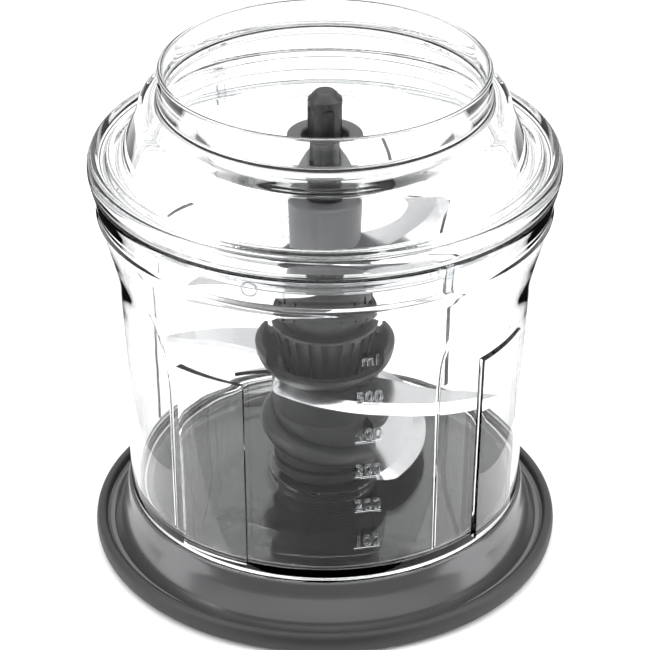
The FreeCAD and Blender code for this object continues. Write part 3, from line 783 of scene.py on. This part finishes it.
def arch_rib(name, path):
    """Each section lies across the path, on the wall."""
    sections = []
    for i, (azimuth, height) in enumerate(path):
        before, after = path[max(0, i - 1)], path[min(len(path) - 1, i + 1)]
        along = Vector(((after[0] - before[0]) * 0.96, after[1] - before[1])).normalized()
        across, up = -along.y / 0.96, along.x
        shape = [(-0.6, -0.4), (-0.4, 0.35), (0.0, 0.6), (0.4, 0.35), (0.6, -0.4)]
        sections.append([polar(bore_radius(height + side * up) - proud, azimuth + side * across,
                               height + side * up) for side, proud in shape])
    return skinned(name, sections, 30)


for number, path in enumerate(ARCHES):
    rib = arch_rib(f"arch_{number}", eased(path, 3))
    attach(rib, "bowl_body")
    dress(clear_wall, rib)

# %% [markdown]
# ## The marks on the wall
# The capacity scale stands in relief: a number and a short line under it for each 100 ml, twice,
# on opposite sides. Text objects are made a mesh first, and then each is set on the wall.

# %% The capacity scale
SCALE = [("100", 28.3), ("200", 40.3), ("300", 51.6), ("400", 62.9), ("500", 74.6), ("ml", 86.3)]


def wall_radius(height):
    """Close to the wall's outer radius. The lines of the scale stand about 0.1 mm off the wall, and
    its highest mark, which is on the flare, is sunk up to 1.3 mm into it."""
    return 56.3 + 0.9 * min(1, max(0, (height - 24) / 55)) + 0.35 * max(0, (height - 79) / 7)


def set_on_wall(piece, azimuth, height, proud):
    """Turn a flat piece in XY upright, and carry it onto the wall."""
    turn = Matrix.Rotation(math.radians(azimuth), 4, "Z") @ Matrix.Rotation(math.pi / 2, 4, "X")
    spot = polar(wall_radius(height) + proud, azimuth, height)
    piece.data.transform(Matrix.Translation(spot) @ turn)


marks = []
for side in (11.7, 191.7):
    for words, height in SCALE:
        deselect_all()
        bpy.ops.object.text_add(location=(0, 0, 0))
        word = bpy.context.object
        word.data.body = words
        word.data.size = 4.6 * MM
        word.data.align_x = "CENTER"
        word.data.space_character = 1.08
        word.data.extrude = 0.35 * MM
        word.data.bevel_depth = 0.06 * MM
        bpy.ops.object.convert(target="MESH")
        word = bpy.context.object
        word.name = f"scale_{words}_{int(side)}"
        set_on_wall(word, side, height + 0.9, 0.25)
        marks.append(word)
        if words != "ml":
            half, thin = 3.6 * MM, 0.16 * MM
            line = draw_outline(f"scale_line_{words}_{int(side)}", [
                (-half, -thin, 0), (half, -thin, 0), (half, thin, 0), (-half, thin, 0)])
            bpy.ops.mesh.select_all(action="SELECT")
            bpy.ops.mesh.edge_face_add()
            bpy.ops.mesh.extrude_region_move(TRANSFORM_OT_translate={"value": (0, 0, 0.5 * MM)})
            bpy.ops.mesh.select_all(action="SELECT")
            bpy.ops.mesh.normals_make_consistent(inside=False)
            bpy.ops.object.mode_set(mode="OBJECT")
            set_on_wall(line, side, height, 0.0)
            marks.append(line)
for azimuth in (-17.6, 162.4):
    deselect_all()
    bpy.ops.mesh.primitive_torus_add(major_radius=2.0 * MM, minor_radius=0.34 * MM,
                                     major_segments=40, minor_segments=10, location=(0, 0, 0))
    ring = bpy.context.object
    ring.name = f"open_ring_{int(azimuth)}"
    bpy.ops.object.shade_smooth()
    turn = Matrix.Rotation(math.radians(azimuth), 4, "Z") @ Matrix.Rotation(math.pi / 2, 4, "X")
    ring.data.transform(Matrix.Translation(polar(63.6, azimuth, 111.9)) @ turn)
    marks.append(ring)
for azimuth in (30, 210):
    spread = 1.15
    corners = [polar(62.0, azimuth - spread), polar(62.0, azimuth + spread),
               polar(64.2, azimuth + spread), polar(64.2, azimuth - spread)]
    stop = upright_slab(f"lock_rib_{azimuth}", corners, 107.6, 115.8, 0.2)
    marks.append(stop)
for mark in marks:
    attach(mark, "bowl_body")
dress(clear_mark, *marks)
print("marks on the wall:", len(marks))

# %% [markdown]
# ## The room
# A pale floor and soft light. Clear plastic shows only by what it bends and mirrors, so the room is
# white, with a dark band all round and black cards on the floor in front and at the sides. The rims
# and the thick edges pick both up as dark lines.

# %% Floor and light
deselect_all()
bpy.ops.mesh.primitive_plane_add(size=6, location=(0, 0, 0))
floor = bpy.context.object
floor.name = "studio_floor"
floor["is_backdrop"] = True
paper = Finish("studio_paper")
fibre = paper.noise(700, 4, 0.6)
paper.set(Base_Color=paper.blend_colours(fibre, (0.93, 0.93, 0.93), (0.96, 0.96, 0.96)),
          Roughness=0.9)
dress(paper, floor)


def soft_box(name, place, aim, width, height, power):
    deselect_all()
    bpy.ops.object.light_add(type="AREA", location=place)
    lamp = bpy.context.object
    lamp.name = name
    lamp.data.shape = "RECTANGLE"
    lamp.data.size = width
    lamp.data.size_y = height
    lamp.data.energy = power
    lamp.rotation_euler = (Vector(aim) - Vector(place)).to_track_quat("-Z", "Y").to_euler()
    return lamp


soft_box("top_light", (0, 0.1, 1.0), (0, 0, 0.07), 1.1, 1.1, 9)
soft_box("left_light", (-0.9, -0.4, 0.5), (0, 0, 0.07), 0.5, 0.9, 5)
soft_box("right_light", (0.9, -0.2, 0.5), (0, 0, 0.07), 0.5, 0.9, 5)


def black_flag(name, corners):
    """A card on the floor that only reflections see."""
    flag = draw_outline(name, corners)
    bpy.ops.mesh.select_all(action="SELECT")
    bpy.ops.mesh.edge_face_add()
    bpy.ops.object.mode_set(mode="OBJECT")
    flag.visible_camera = False
    flag.visible_diffuse = False
    flag.visible_shadow = False
    flag.visible_transmission = False
    flag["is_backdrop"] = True
    dress(flag_cloth, flag)


flag_cloth = moulded("flag_cloth", (0.004, 0.004, 0.004), (0.010, 0.010, 0.010), 0.95, 0.02,
                     900, 0.1)
flag_cloth.set(Specular_IOR_Level=0.0)
black_flag("flag_front", [(-0.28, -0.072, 0.001), (0.28, -0.072, 0.001), (0.28, -0.50, 0.001),
                          (-0.28, -0.50, 0.001)])
black_flag("flag_left", [(-0.10, -0.03, 0.001), (-0.24, -0.03, 0.001), (-0.24, 0.30, 0.001),
                         (-0.10, 0.30, 0.001)])
black_flag("flag_right", [(0.10, -0.03, 0.001), (0.24, -0.03, 0.001), (0.24, 0.30, 0.001),
                          (0.10, 0.30, 0.001)])

# %% The surroundings
# White all round, with a dark band low over the horizon that is deepest on the camera's side.
world = bpy.data.worlds.new("studio_air")
bpy.context.scene.world = world
world.use_nodes = True
tree = world.node_tree
direction = tree.nodes.new("ShaderNodeTexCoord")
split = tree.nodes.new("ShaderNodeSeparateXYZ")
tree.links.new(direction.outputs["Generated"], split.inputs[0])
ramp = tree.nodes.new("ShaderNodeValToRGB")
ramp.color_ramp.elements[0].position = 0.0
ramp.color_ramp.elements[0].color = (1, 1, 1, 1)
ramp.color_ramp.elements[1].position = 1.0
ramp.color_ramp.elements[1].color = (1, 1, 1, 1)
for position, shade in ((0.08, 0.9), (0.14, 0.08), (0.31, 0.08), (0.40, 1.0)):
    stop = ramp.color_ramp.elements.new(position)
    stop.color = (shade, shade, shade, 1)
tree.links.new(split.outputs["Z"], ramp.inputs[0])
side = tree.nodes.new("ShaderNodeMapRange")
tree.links.new(split.outputs["Y"], side.inputs["Value"])
for key, value in {"From Min": -0.1, "From Max": 0.35, "To Min": 0.0, "To Max": 0.45}.items():
    side.inputs[key].default_value = value
air = tree.nodes.new("ShaderNodeMix")
air.data_type = "RGBA"
tree.links.new(side.outputs[0], air.inputs[0])
tree.links.new(ramp.outputs[0], air.inputs[6])
air.inputs[7].default_value = (1, 1, 1, 1)
background = tree.nodes["Background"]
tree.links.new(air.outputs[2], background.inputs[0])
background.inputs[1].default_value = 1.0
bpy.context.scene.view_settings.view_transform = "Standard"

# %% Finish
boxes = {"cad": [list(map(float, corner)) for corner in cad_box],
         "visual": [list(map(float, corner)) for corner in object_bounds()]}
print("visual height in mm:", round((boxes["visual"][1][2] - boxes["visual"][0][2]) / MM, 1))
